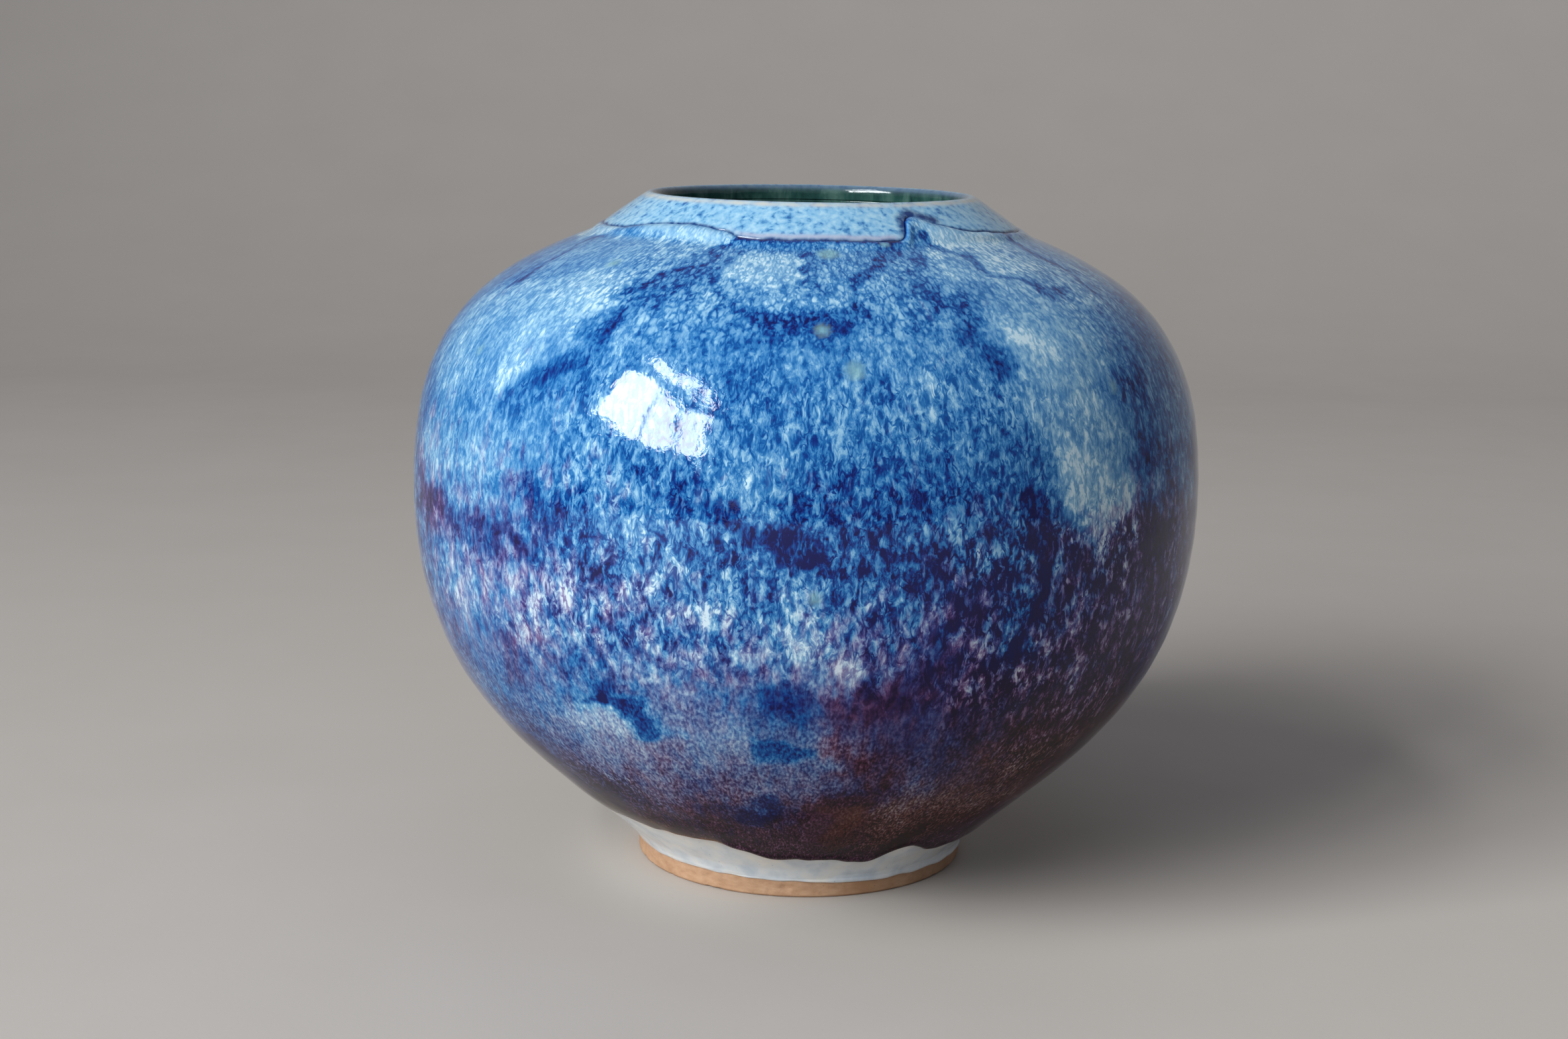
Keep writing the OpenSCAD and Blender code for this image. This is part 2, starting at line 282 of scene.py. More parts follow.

# Pours and runs, given for each thing that they change: amount, half width, softness,
# then the run as azimuth and height. Marks that share a place add up.
POURS = {
    "tone": [
        # pale glaze over the shoulder
        (0.20, 12, 5, [(-66, 124), (-50, 127), (-44, 131)]),
        (0.06, 5, 6, [(-64, 142), (-45, 142), (-34, 143)]),
        (0.12, 5, 5, [(-66, 103), (-48, 105), (-34, 105)]),
        (0.24, 5.0, 1.2, [(-12, 140.5), (-7, 140.5)]),
        (0.16, 6, 6, [(36, 142), (48, 140), (62, 136)]),
        (0.14, 7, 6, [(36, 132), (46, 130)]),
        (0.22, 7, 6, [(35, 122), (38, 110), (42, 100)]),
        (0.22, 4, 5, [(38, 104), (43, 96), (47, 91)]),
        # the thick tongues that climb over the step of the collar
        (0.19, 2.4, 2.6, [(-46, 147.2), (-36, 146.4), (-25, 145)]),
        (0.32, 2.6, 2.0, [(-86, 144.6), (-62, 145.2)]),
        (0.22, 2.0, 3.0, [(30, 149), (34, 147.2), (44, 146), (54, 145)]),
        # dark lines where one pour ends on another
        (-0.32, 0.4, 1.0, [(-18, 146), (-21, 144), (-24, 142), (-30, 138.5), (-35, 134)]),
        (-0.16, 2.0, 3.0, [(-23, 139.5), (-29, 135), (-35, 130)]),
        (-0.26, 1.4, 3.0, [(-33, 131), (-36, 125), (-40, 119), (-46, 113)]),
        (-0.26, 0.6, 1.6, [(-18, 141), (-17, 137), (-13, 133.5), (-8, 132), (0, 131.5), (6, 132.5)]),
        (-0.20, 0.2, 0.8, [(-3, 144.5), (-1, 141), (-2, 137), (-6, 134)]),
        (-0.20, 0.2, 0.8, [(0, 144.5), (2, 141), (1, 137), (-3, 133)]),
        (-0.14, 2.2, 4.0, [(-12, 131), (3, 130)]),
        (-0.30, 0.9, 1.4, [(22, 146), (15, 142), (10, 138), (8, 134)]),
        (-0.20, 0.6, 1.2, [(29, 145), (21, 140), (15, 136)]),
        (-0.26, 2.0, 3, [(22, 138), (25, 132), (26, 124)]),
        (-0.38, 0.7, 1.2, [(30, 146.3), (36, 141), (44, 138), (52, 135)]),
        (-0.30, 0.6, 1.0, [(-49, 147.6), (-58, 146.4), (-67, 143), (-66, 139), (-65, 134)]),
        (-0.30, 0.6, 1.0, [(60, 147.6), (66, 145.5), (61, 142), (62, 138), (62, 133)]),
        (-0.22, 4, 6, [(53, 116), (55, 102), (56, 88)]),
        # the navy band round the belly
        (0.13, 5, 5, [(-68, 98), (-46, 97)]),
        (0.12, 3.5, 4, [(-28, 100), (-22, 94)]),
        (-0.20, 2.0, 2.6, [(-70, 93), (-60, 91), (-54, 89)]),
        (-0.25, 1.2, 1.5, [(-52, 91), (-47, 86), (-40, 86)]),
        (-0.16, 2.0, 2.2, [(-39, 97), (-30, 93)]),
        (-0.26, 1.6, 1.8, [(-16, 96), (-10, 94), (-4, 91), (0, 88)]),
        (-0.12, 3.0, 4, [(1, 101), (10, 102), (18, 99)]),
        (-0.12, 4.0, 4, [(0, 94), (7, 90), (15, 89), (24, 90)]),
        (-0.38, 0.9, 1.4, [(30.5, 99), (31, 88), (31.5, 78), (30, 68)]),
        (-0.16, 5, 6, [(13, 84), (17, 74), (14, 62)]),
        # white streaks under it
        (0.12, 5, 5, [(-64, 72), (-48, 74), (-34, 74)]),
        (-0.10, 2, 4, [(-26, 82), (-25, 70)]),
        (0.06, 6, 5, [(-18, 76), (-8, 71), (4, 68)]),
        (0.20, 1.4, 2.4, [(-1, 70), (2, 69)]),
        (0.22, 1.0, 2.0, [(-14, 78), (-13, 75)]),
        # runs and drips on the lower half
        (-0.34, 1.0, 1.4, [(-30, 68), (-29, 61), (-30, 56)]),
        (-0.38, 0.8, 1.2, [(-34, 54), (-31, 56.5), (-27, 56), (-24, 52), (-22, 49)]),
        (0.19, 4.2, 2.4, [(-35, 49.5), (-29, 50.5)]),
        (0.10, 5, 5, [(-42, 48), (-14, 48)]),
        (-0.18, 1.8, 2.6, [(-3, 58), (0, 57)]),
        (-0.26, 1.2, 2.2, [(-7, 45), (0, 45)]),
        (-0.24, 1.2, 2.2, [(-5, 33), (-5, 28), (-9, 27)]),
        (-0.20, 5, 6, [(9, 56), (10, 46), (11, 36)]),
        (-0.27, 26, 11, [(36, 58), (80, 62)]),
        (-0.15, 1.6, 2.2, [(27, 24), (26, 18), (22, 14)]),
        # the back half: the same pours as they may have gone on round the vase
        (0.22, 3, 3, [(84, 146.2), (104, 146), (122, 147)]),
        (0.20, 3, 3, [(150, 146), (176, 145.6), (198, 145.4)]),
        (0.18, 11, 7, [(100, 138), (112, 124), (110, 108)]),
        (0.16, 10, 6, [(178, 138), (200, 132), (212, 118)]),
        (0.14, 7, 6, [(236, 136), (252, 124), (262, 108)]),
        (-0.34, 0.7, 1.6, [(126, 146.6), (132, 141), (140, 134), (145, 126)]),
        (-0.26, 1.6, 3, [(145, 126), (150, 116), (160, 108)]),
        (-0.32, 0.7, 1.6, [(222, 146), (215, 139), (206, 131), (196, 127)]),
        (-0.22, 1.4, 3, [(196, 127), (184, 122), (172, 121)]),
        (-0.30, 0.7, 1.4, [(232, 146), (238, 138), (248, 130)]),
        (-0.20, 3, 4, [(72, 100), (88, 96), (100, 92)]),
        (-0.24, 1.6, 2.4, [(112, 98), (124, 92), (136, 95), (148, 90)]),
        (-0.22, 2.4, 3, [(158, 96), (176, 92), (190, 97)]),
        (-0.26, 1.5, 2.4, [(204, 94), (216, 88), (232, 92), (246, 89)]),
        (-0.30, 0.9, 1.4, [(118, 96), (119, 82), (117, 70)]),
        (-0.30, 0.8, 1.4, [(208, 90), (209, 76), (207, 66)]),
        (0.14, 5, 5, [(92, 78), (108, 72)]),
        (0.16, 6, 5, [(140, 78), (166, 72), (190, 74)]),
        (0.14, 5, 5, [(222, 72), (246, 74)]),
        (-0.32, 1.0, 1.6, [(128, 58), (134, 61), (142, 58), (146, 50)]),
        (-0.30, 1.0, 1.6, [(180, 50), (192, 48)]),
        (-0.34, 0.9, 1.6, [(230, 62), (232, 55), (238, 50)]),
        (0.20, 3, 2.6, [(136, 53), (142, 52)]),
        (0.12, 6, 5, [(176, 44), (214, 46)]),
        # small changes of depth between the pours, from the top down, then painted shade low on the left
        (0.06, 14, 10, [(46, 142), (50, 112)]),
        (0.07, 3, 4, [(44, 141), (48, 141)]),
        (0.07, 4, 5, [(-8, 137), (6, 137)]),
        (-0.06, 3, 4, [(32, 134), (38, 134)]),
        (0.10, 3, 4, [(-6, 134), (4, 134)]),
        (-0.07, 5, 5, [(32, 134), (38, 134)]),
        (0.05, 5, 4, [(-36, 132), (-26, 132), (-4, 134)]),
        (0.06, 5, 6, [(-28, 124), (-24, 118)]),
        (-0.05, 3, 4, [(4, 124), (8, 120)]),
        (0.05, 4, 4, [(-28, 122), (-16, 122)]),
        (0.04, 4, 4, [(-26, 122), (-14, 122)]),
        (0.12, 4, 5, [(-48, 116), (-44, 112)]),
        (0.05, 4, 4, [(-46, 116), (-44, 122)]),
        (0.06, 4, 5, [(20, 114), (28, 112)]),
        (-0.07, 3, 3, [(-46, 107), (-44, 107)]),
        (0.05, 5, 5, [(-36, 106), (-20, 120)]),
        (0.07, 3, 4, [(-8, 102), (2, 102)]),
        (0.05, 3, 4, [(-18, 101), (-4, 101)]),
        (0.05, 3, 4, [(-6, 101), (-4, 101)]),
        (0.06, 4, 4, [(-26, 95), (-16, 90)]),
        (0.06, 4, 5, [(-36, 94), (-24, 88)]),
        (0.07, 3, 3, [(12, 90), (24, 88)]),
        (0.06, 4, 4, [(44, 90), (46, 88)]),
        (0.06, 3, 4, [(-26, 84), (-24, 54)]),
        (-0.05, 4, 4, [(-46, 84), (-36, 74), (-46, 66)]),
        (-0.10, 3, 4, [(-47, 82), (-45, 62)]),
        (-0.06, 3, 4, [(4, 76), (6, 72)]),
        (-0.06, 4, 4, [(3, 76), (8, 70), (5, 66)]),
        (-0.05, 4, 4, [(6, 74), (16, 74)]),
        (-0.06, 4, 5, [(55, 70), (56, 52)]),
        (0.07, 3, 4, [(-6, 68), (6, 60)]),
        (-0.08, 5, 6, [(48, 66), (56, 80)]),
        (0.06, 3, 4, [(4, 64), (14, 62)]),
        (0.08, 3, 4, [(-60, 62), (-54, 60)]),
        (-0.05, 5, 5, [(34, 60), (36, 54)]),
        (0.05, 6, 6, [(28, 56), (46, 52)]),
        (0.06, 3, 4, [(-28, 54), (-14, 54)]),
        (-0.05, 3, 4, [(-5, 54), (-4, 50)]),
        (-0.06, 3, 4, [(14, 48), (16, 38)]),
        (0.07, 4, 5, [(-46, 40), (-34, 38), (-14, 34)]),
        (0.05, 8, 8, [(24, 30), (44, 36)]),
        (-0.04, 2, 4, [(8, 28), (7, 20)]),
        # painted shade: the lower left edge, which faces down and away from the window, is darkened
        (-0.18, 14, 10, [(-80, 24), (-57, 26)]),
    ],
    "contrast": [
        # where the marks stand out more, or less
        (-0.50, 2.2, 1.8, [(-44, 147.2), (-36, 146.6), (-25, 145.2)]),
        (-0.45, 2.0, 1.8, [(31, 149), (36, 147.4), (46, 146.4), (56, 145.6)]),
        (-0.20, 5.0, 1.4, [(-12, 140.5), (-7, 140.5)]),
        (0.50, 14, 12, [(34, 76), (44, 50)]),
        (0.15, 10, 10, [(18, 26), (44, 34)]),
        (-0.50, 3, 4, [(8, 28), (7, 20)]),
        (0.15, 7, 5, [(4, 94), (20, 88)]),
        (0.35, 8, 8, [(28, 54), (48, 46)]),
        (0.60, 4, 4, [(-48, 30), (-34, 30)]),
        (0.50, 5, 5, [(46, 84), (58, 86)]),
        (-0.30, 22, 14, [(-62, 138), (-56, 112), (-55, 90)]),
        (-0.25, 9, 8, [(36, 138), (42, 100)]),
    ],
    "warm": [
        # purple and red, or bluer
        (0.30, 12, 8, [(14, 48), (30, 52), (56, 56)]),
        (0.42, 9, 9, [(38, 80), (48, 80), (64, 80)]),
        (0.18, 14, 10, [(-60, 98), (-36, 96)]),
        (-0.15, 7, 8, [(-10, 90), (6, 84), (14, 90)]),
        (0.15, 5, 6, [(-46, 62), (-26, 76)]),
        (0.30, 4, 5, [(-70, 92), (-62, 88)]),
        (0.40, 3, 4, [(8, 30), (6, 17)]),
        (-0.45, 1.5, 3, [(-34, 54), (-31, 56.5), (-27, 56), (-22, 49)]),
        (-0.45, 1.2, 3, [(-7, 45), (0, 45)]),
        (-0.20, 1.5, 4, [(-3, 58), (0, 57)]),
        (-0.30, 1.5, 3, [(-5, 33), (-9, 27)]),
        (-0.10, 4, 4, [(-46, 88), (-26, 90), (0, 94)]),
        (0.16, 8, 6, [(-6, 39), (8, 38)]),
        (0.14, 8, 7, [(26, 58), (38, 42)]),
        (0.25, 3, 6, [(16, 88), (22, 72)]),
        # the back half
        (0.28, 9, 9, [(80, 84), (96, 76)]),
        (0.22, 7, 8, [(164, 86), (190, 84)]),
        (0.25, 6, 7, [(226, 84), (244, 80)]),
    ],
    "rust_and_reflection": [
        # brown: rusty at the lower edge; low on the right partly rusty and partly a painted reflection of a
        # brown table below
        (0.90, 2.5, 3.5, [(-95, 17), (-70, 18), (-50, 18.5), (-38, 17.5)]),
        (0.80, 9, 14, [(24, 25), (36, 30), (60, 34), (90, 28)]),
        (0.60, 1.5, 2.5, [(8, 30), (7, 17)]),
        # the back half
        (0.60, 6, 8, [(110, 22), (140, 20), (170, 22), (205, 20), (240, 22)]),
    ],
}

# Pale green spots: azimuth, height, radius.
SPOTS = [(6, 123.5, 1.9), (-44, 140, 1.6), (1.5, 130.5, 1.0), (3.6, 143.4, 1.8), (1, 80, 1.3), (18, 145, 1.0),
         (-58, 122, 1.0), (48, 118, 1.2), (-88, 116, 1.6), (104, 128, 1.9), (152, 96, 1.4), (-140, 126, 1.7)]


def distance(azimuth_deg, s, run):
    """Distance in metres over the surface from every point to a run of (azimuth, height)."""
    best = np.full(s.shape, 1.0)
    stops = [(a, draped.at_height(h * MM)) for a, h in run]
    pairs = list(zip(stops[:-1], stops[1:])) or [(stops[0], stops[0])]
    for (a0, s0), (a1, s1) in pairs:
        around = math.radians(1) * draped.radius(0.5 * (s0 + s1))
        across = ((azimuth_deg - a0 + 180) % 360 - 180) * around
        along = s - s0
        dx, dy = (a1 - a0) * around, s1 - s0
        t = np.clip((across * dx + along * dy) / max(dx * dx + dy * dy, 1e-12), 0, 1)
        best = np.minimum(best, np.hypot(across - t * dx, along - t * dy))
    return best


def paint(azimuth, s, points):
    """The pour map: tone (low down partly painted shade), contrast, warmth, rusty brown (low on the right
    partly a painted reflection) and spots of the glaze at every point. 1 is full.
    """
    wobble = [2.2 * wander(points, 9 * MM, k) + 1.0 * wander(points, 3.5 * MM, k + 5) for k in (1, 2)]
    degrees = np.degrees(azimuth) + wobble[0] * MM / math.radians(1) / draped.radius(s)
    along = s + wobble[1] * MM
    height = draped.height(along) / MM + 2.5 * wander(points, 30 * MM, 3)
    channels = {
        "tone": np.interp(height, *zip(*TONE_BY_HEIGHT)),
        "contrast": np.interp(height, *zip(*CONTRAST_BY_HEIGHT)),
        "warm": np.interp(height, *zip(*WARM_BY_HEIGHT)),
        "rust_and_reflection": np.zeros(s.shape),
    }
    channels["tone"] += 0.06 * wander(points, 38 * MM, 4) + 0.06 * wander(points, 13 * MM, 6)
    channels["warm"] += 0.15 * wander(points, 30 * MM, 7)
    for channel, marks in POURS.items():
        for amount, half_width, softness, run in marks:
            away = distance(degrees, along, run) / MM
            channels[channel] += amount * ease(1 - (away - half_width) / softness)
    channels["spot"] = np.zeros(s.shape)
    for a, h, size in SPOTS:
        away = distance(np.degrees(azimuth), s, [(a, h)]) / MM + 0.25 * wobble[0]
        channels["spot"] = np.maximum(channels["spot"], ease((size - away) / 2.4 + 0.5))
    return channels


# ---------------------------------------------------------------- materials

class Shader:
    """Short calls that add nodes to one material. Each returns the new node's output."""

    def __init__(self, name, **settings):
        self.material = bpy.data.materials.new(name)
        self.material.use_nodes = True
        self.tree = self.material.node_tree
        self.tree.nodes.clear()
        self.surface = self.tree.nodes.new("ShaderNodeBsdfPrincipled")
        output = self.tree.nodes.new("ShaderNodeOutputMaterial")
        self.tree.links.new(self.surface.outputs[0], output.inputs[0])
        for socket, value in settings.items():
            self.surface.inputs[socket.replace("_", " ")].default_value = value

    def node(self, kind, *inputs, **settings):
        made = self.tree.nodes.new("ShaderNode" + kind)
        for key, value in settings.items():
            setattr(made, key, value)
        for socket, value in inputs:
            if isinstance(value, bpy.types.NodeSocket):
                self.tree.links.new(value, made.inputs[socket])
            else:
                made.inputs[socket].default_value = value
        return made

    def finish(self, color, roughness, normal, gloss=None):
        sockets = [("Base Color", color), ("Roughness", roughness), ("Normal", normal)]
        if gloss is not None:
            sockets.append(("Specular IOR Level", gloss))
        for socket, value in sockets:
            self.tree.links.new(value, self.surface.inputs[socket])
        return self.material

    def place(self, stretch=(1, 1, 1)):
        """Place on the object in millimetres, with each axis stretched."""
        scale = [1000 / k for k in stretch]
        place = self.node("TexCoord").outputs["Object"]
        return self.node("Mapping", ("Vector", place), ("Scale", scale)).outputs[0]

    def flow(self, stretch):
        """Place on the glaze unrolled onto a cylinder, in millimetres, stretched downhill."""
        place = self.node("Attribute", attribute_name="flow").outputs["Vector"]
        scale = (1000, 1000, 1000 / stretch)
        return self.node("Mapping", ("Vector", place), ("Scale", scale)).outputs[0]

    def height(self):
        """Height on the object in millimetres."""
        return self.node("SeparateXYZ", (0, self.place())).outputs["Z"]

    def attribute(self, name):
        return self.node("Attribute", attribute_name=name).outputs["Fac"]

    def noise(self, place, size, detail=2.0, roughness=0.5, distortion=0.0):
        """Noise from 0 to 1 with features of a size in millimetres."""
        return self.node("TexNoise", ("Vector", place), ("Scale", 1 / size), ("Detail", detail),
                         ("Roughness", roughness), ("Distortion", distortion)).outputs["Fac"]

    def cells(self, place, size, feature="F1"):
        return self.node("TexVoronoi", ("Vector", place), ("Scale", 1 / size),
                         feature=feature).outputs["Distance"]

    def stir(self, place, size, reach):
        """The place moved about by noise, up to a reach in millimetres."""
        swirl = self.node("TexNoise", ("Vector", place), ("Scale", 1 / size), ("Detail", 1.0))
        centred = self.node("VectorMath", (0, swirl.outputs["Color"]), (1, (0.5, 0.5, 0.5)),
                            operation="SUBTRACT").outputs[0]
        moved = self.node("VectorMath", (0, centred), ("Scale", 2 * reach), operation="SCALE").outputs[0]
        return self.node("VectorMath", (0, place), (1, moved), operation="ADD").outputs[0]

    def math(self, operation, a, b=0.0, clamp=False):
        return self.node("Math", (0, a), (1, b), operation=operation, use_clamp=clamp).outputs[0]

    def fit(self, value, low, high, to_low=0.0, to_high=1.0):
        """A value taken from one range to another, and held at its ends."""
        return self.node("MapRange", ("Value", value), ("From Min", low), ("From Max", high),
                         ("To Min", to_low), ("To Max", to_high)).outputs["Result"]

    def ramp(self, value, *stops):
        made = self.node("ValToRGB", ("Fac", value))
        elements = made.color_ramp.elements
        while len(elements) < len(stops):
            elements.new(0.5)
        for element, (position, color) in zip(elements, stops):
            element.position = position
            element.color = (*color, 1)
        return made.outputs["Color"]

    def mix(self, share, a, b):
        made = self.node("Mix", data_type="RGBA")
        for socket, value in ((0, share), (6, a), (7, b)):
            if isinstance(value, bpy.types.NodeSocket):
                self.tree.links.new(value, made.inputs[socket])
            else:
                made.inputs[socket].default_value = (*value, 1) if socket else value
        return made.outputs[2]

    def level(self, share, a, b):
        """A number between a and b."""
        return self.node("Mix", (0, share), (2, a), (3, b), data_type="FLOAT").outputs[0]

    def bump(self, height, depth, normal=None):
        """Relief with a depth in millimetres."""
        inputs = [("Height", height), ("Distance", depth * MM), ("Strength", 1.0)]
        if normal is not None:
            inputs.append(("Normal", normal))
        return self.node("Bump", *inputs).outputs[0]


def blue_tone(m, place, height, patch):
    """How pale the glaze is, from 0 to 1: the pour map and the pattern that breaks it up."""
    pattern = m.level(m.fit(height, 118, 134), flames(m), scales(m))
    right = m.math("MAXIMUM", m.node("SeparateXYZ", (0, place)).outputs["X"], 0.0)
    reach = m.math("ADD", height, m.math("MULTIPLY", right, 0.30))
    pattern = m.level(m.fit(reach, 68, 52), pattern, grain(m))
    broad = m.math("MULTIPLY", m.fit(height, 106, 84, 0.14, 0.30), m.fit(height, 50, 62, 0.45, 1))
    swing = m.math("MULTIPLY", m.fit(patch, 0.3, 0.7, -1, 1), broad)
    swing = m.math("ADD", m.fit(pattern, 0, 1, -0.36, 0.32), swing)
    swing = m.math("MULTIPLY", swing, m.attribute("contrast"))
    swing = m.math("MULTIPLY", swing, m.fit(m.attribute("tone"), 0, 0.40, 0.6, 1))
    return m.math("ADD", m.attribute("tone"), swing, clamp=True)


def blue_color(m, place, height, patch, tone):
    """Blue from navy to almost white, turned to violet, wine and brown where the pour map is warm."""
    blue = m.ramp(tone, (0.0, (0.001, 0.003, 0.06)), (0.12, (0.001, 0.016, 0.14)),
                  (0.30, (0.002, 0.070, 0.25)), (0.45, (0.022, 0.14, 0.345)),
                  (0.60, (0.070, 0.215, 0.415)), (0.75, (0.15, 0.32, 0.49)),
                  (0.88, (0.26, 0.44, 0.57)), (1.0, (0.48, 0.62, 0.68)))
    wine = m.ramp(tone, (0.0, (0.008, 0.002, 0.008)), (0.2, (0.035, 0.008, 0.022)),
                  (0.35, (0.085, 0.028, 0.06)), (0.5, (0.15, 0.08, 0.14)), (0.65, (0.23, 0.17, 0.26)),
                  (0.8, (0.34, 0.31, 0.39)), (1.0, (0.50, 0.52, 0.56)))
    brown = m.ramp(tone, (0.0, (0.012, 0.003, 0.002)), (0.25, (0.075, 0.017, 0.014)),
                   (0.5, (0.16, 0.085, 0.07)), (1.0, (0.52, 0.45, 0.43)))
    violet = m.ramp(tone, (0.0, (0.006, 0.002, 0.04)), (0.2, (0.028, 0.012, 0.09)),
                    (0.35, (0.075, 0.040, 0.16)), (0.5, (0.14, 0.11, 0.25)), (0.65, (0.23, 0.22, 0.36)),
                    (0.8, (0.34, 0.37, 0.48)), (1.0, (0.52, 0.60, 0.67)))
    tint = m.noise(m.stir(m.flow(2.0), 2.4, 1.0), 2.2, 2, 0.5)
    shift = m.math("MULTIPLY", m.fit(tint, 0.3, 0.7, -1, 1), m.fit(height, 52, 70, 0.13, 0.32))
    belly = m.math("MULTIPLY", m.fit(height, 94, 80), m.fit(height, 54, 66))
    milky = m.math("MULTIPLY", m.fit(patch, 0.48, 0.66, 0, 0.16), belly)
    warmth = m.math("ADD", m.math("ADD", m.attribute("warm"), shift), milky)
    purple = m.mix(m.fit(height, 46, 72), wine, violet)
    color = m.mix(m.fit(warmth, 0.15, 0.85), blue, purple)
    # brown: rusty, and low on the right partly a painted reflection of a brown table below
    rust_and_reflection_share = m.math("ADD", m.attribute("rust_and_reflection"), m.math("MULTIPLY", shift, 0.5))
    color = m.mix(m.fit(rust_and_reflection_share, 0.15, 0.95), color, brown)
    stain = m.math("ADD", m.attribute("spot"), m.fit(m.noise(place, 1.1, 3), 0, 1, -0.4, 0.4))
    return m.mix(m.fit(stain, 0.15, 1.0, 0, 0.6), color, (0.20, 0.36, 0.34))


def blue_glaze():
    """Mottled blue: pale scales on the shoulder, flames round the belly and fine grain below."""
    m = Shader("mottled_blue", IOR=1.55)
    place = m.place()
    height = m.math("ADD", m.height(), m.fit(m.noise(place, 12.0), 0, 1, -8, 8))
    patch = m.noise(m.stir(m.flow(1.6), 4.0, 1.5), 3.4, 3, 0.55)
    color = blue_color(m, place, height, patch, blue_tone(m, place, height, patch))
    stirred = m.stir(m.stir(place, 3.0, 0.8), 1.2, 0.5)
    ripple = m.bump(m.noise(place, 7.0, 1), 0.12)
    skin = m.bump(m.noise(stirred, 1.3, 2), 0.028, ripple)
    roughness = m.fit(m.noise(place, 2.0, 2), 0.3, 0.7, 0.03, 0.09)
    gloss = m.fit(height, 24, 96, 0.04, 0.36)
    return m.finish(color, roughness, skin, gloss)


def broken_lines(m, place, size, width, seed):
    """Curling lines, 0 on a line and 1 off it, broken where a second noise is low."""
    shifted = m.node("Mapping", ("Vector", place), ("Location", (seed, 2 * seed, 3 * seed))).outputs[0]
    across = m.math("ABSOLUTE", m.math("SUBTRACT", m.noise(shifted, size, 1, 0.5, 0.5), 0.5))
    line = m.fit(across, width, 0.25 * width)
    there = m.fit(m.noise(shifted, 1.1 * size, 2), 0.44, 0.54)
    return m.math("SUBTRACT", 1.0, m.math("MULTIPLY", line, there))


def scales(m):
    """Pale rounded scales between broken dark strokes."""
    place = m.stir(m.flow(1.5), 2.0, 0.45)
    rims = m.fit(m.cells(place, 1.45, "DISTANCE_TO_EDGE"), 0.0, 0.26)
    strength = m.fit(m.noise(place, 1.6, 2), 0.36, 0.60, 0.15, 1.0)
    rims = m.level(strength, 1.0, rims)
    blots = m.fit(m.noise(m.stir(place, 0.9, 0.35), 1.2, 2, 0.6), 0.34, 0.52)
    return m.math("MULTIPLY", m.math("MULTIPLY", rims, blots), 0.78)


def flames(m):
    """Pale patches drawn out downwards, with dark hooks curling round them."""
    place = m.stir(m.stir(m.flow(2.2), 2.2, 0.8), 0.7, 0.3)
    body = m.fit(m.noise(place, 1.15, 4, 0.68), 0.36, 0.62)
    lines = broken_lines(m, place, 1.4, 0.08, 17.0)
    return m.math("MULTIPLY", body, m.level(0.8, 1.0, lines))


def grain(m):
    """Fine soft specks where the glaze is thin."""
    fine = m.noise(m.stir(m.flow(1.7), 1.2, 0.3), 0.6, 2)
    return m.fit(fine, 0.32, 0.68)


def white_glaze():
    """Thin white with pale blue depth, small specks and a rusty blush where it breaks."""
    m = Shader("thin_white", IOR=1.52)
    place = m.place()
    cloud = m.noise(m.place((1, 1, 2)), 5.0, 3)
    color = m.ramp(cloud, (0.3, (0.50, 0.57, 0.63)), (0.5, (0.66, 0.70, 0.72)), (0.7, (0.76, 0.75, 0.70)))
    color = m.mix(m.fit(m.cells(place, 2.4), 0.10, 0.02), color, (0.30, 0.36, 0.46))
    color = m.mix(m.math("MULTIPLY", m.attribute("edge"), 0.55), color, (0.52, 0.38, 0.27))
    normal = m.bump(m.noise(place, 3.0, 2), 0.05)
    return m.finish(color, m.fit(m.noise(place, 2.0), 0.3, 0.7, 0.07, 0.16), normal)


def liner_color(m):
    """The dark green of the glaze inside."""
    tone = m.noise(m.place((1, 1, 2)), 4.0, 4, 0.6, 0.5)
    return m.ramp(tone, (0.3, (0.006, 0.022, 0.022)), (0.5, (0.018, 0.058, 0.050)),
                  (0.7, (0.060, 0.12, 0.10)))


def collar_glaze():
    """Pale blue with soft blue runs, thin and creamy on the lip."""
    m = Shader("pale_blue", IOR=1.52)
    place = m.place()
    run = m.noise(m.stir(m.place((1, 1, 1.6)), 2.4, 0.6), 1.4, 2, 0.5)
    color = m.ramp(m.fit(run, 0.24, 0.70), (0.0, (0.02, 0.10, 0.28)), (0.15, (0.05, 0.19, 0.39)),
                   (0.45, (0.17, 0.37, 0.55)), (1.0, (0.31, 0.50, 0.61)))
    color = m.mix(m.attribute("blush"), color, (0.36, 0.36, 0.45))
    color = m.mix(m.attribute("edge"), color, (0.46, 0.46, 0.42))
    # Navy at the collar's foot, partly pooled glaze and partly painted shade in the crease, and on the dark
    # run.
    shade = m.math("MULTIPLY", m.attribute("dark"), m.fit(run, 0.3, 0.7, 1.2, 0.7), clamp=True)
    color = m.mix(shade, color, (0.006, 0.03, 0.13))
    color = m.mix(m.attribute("inside"), color, liner_color(m))
    color = m.mix(m.attribute("rim"), color, (0.06, 0.085, 0.13))
    ripple = m.bump(m.noise(place, 5.0, 1), 0.10)
    normal = m.bump(m.noise(place, 1.3, 2), 0.02, ripple)
    return m.finish(color, m.fit(m.noise(place, 2.0), 0.3, 0.7, 0.06, 0.14), normal)


def liner_glaze():
    """Glossy dark green inside, with soft throwing ripples."""
    m = Shader("dark_green", IOR=1.52)
    place = m.place()
    color = liner_color(m)
    ripple = m.bump(m.noise(m.place((3, 3, 1)), 6.0, 1), 0.2)
    normal = m.bump(m.noise(place, 1.5, 2), 0.02, ripple)
    return m.finish(color, m.fit(m.noise(place, 3.0), 0.3, 0.7, 0.08, 0.16), normal)


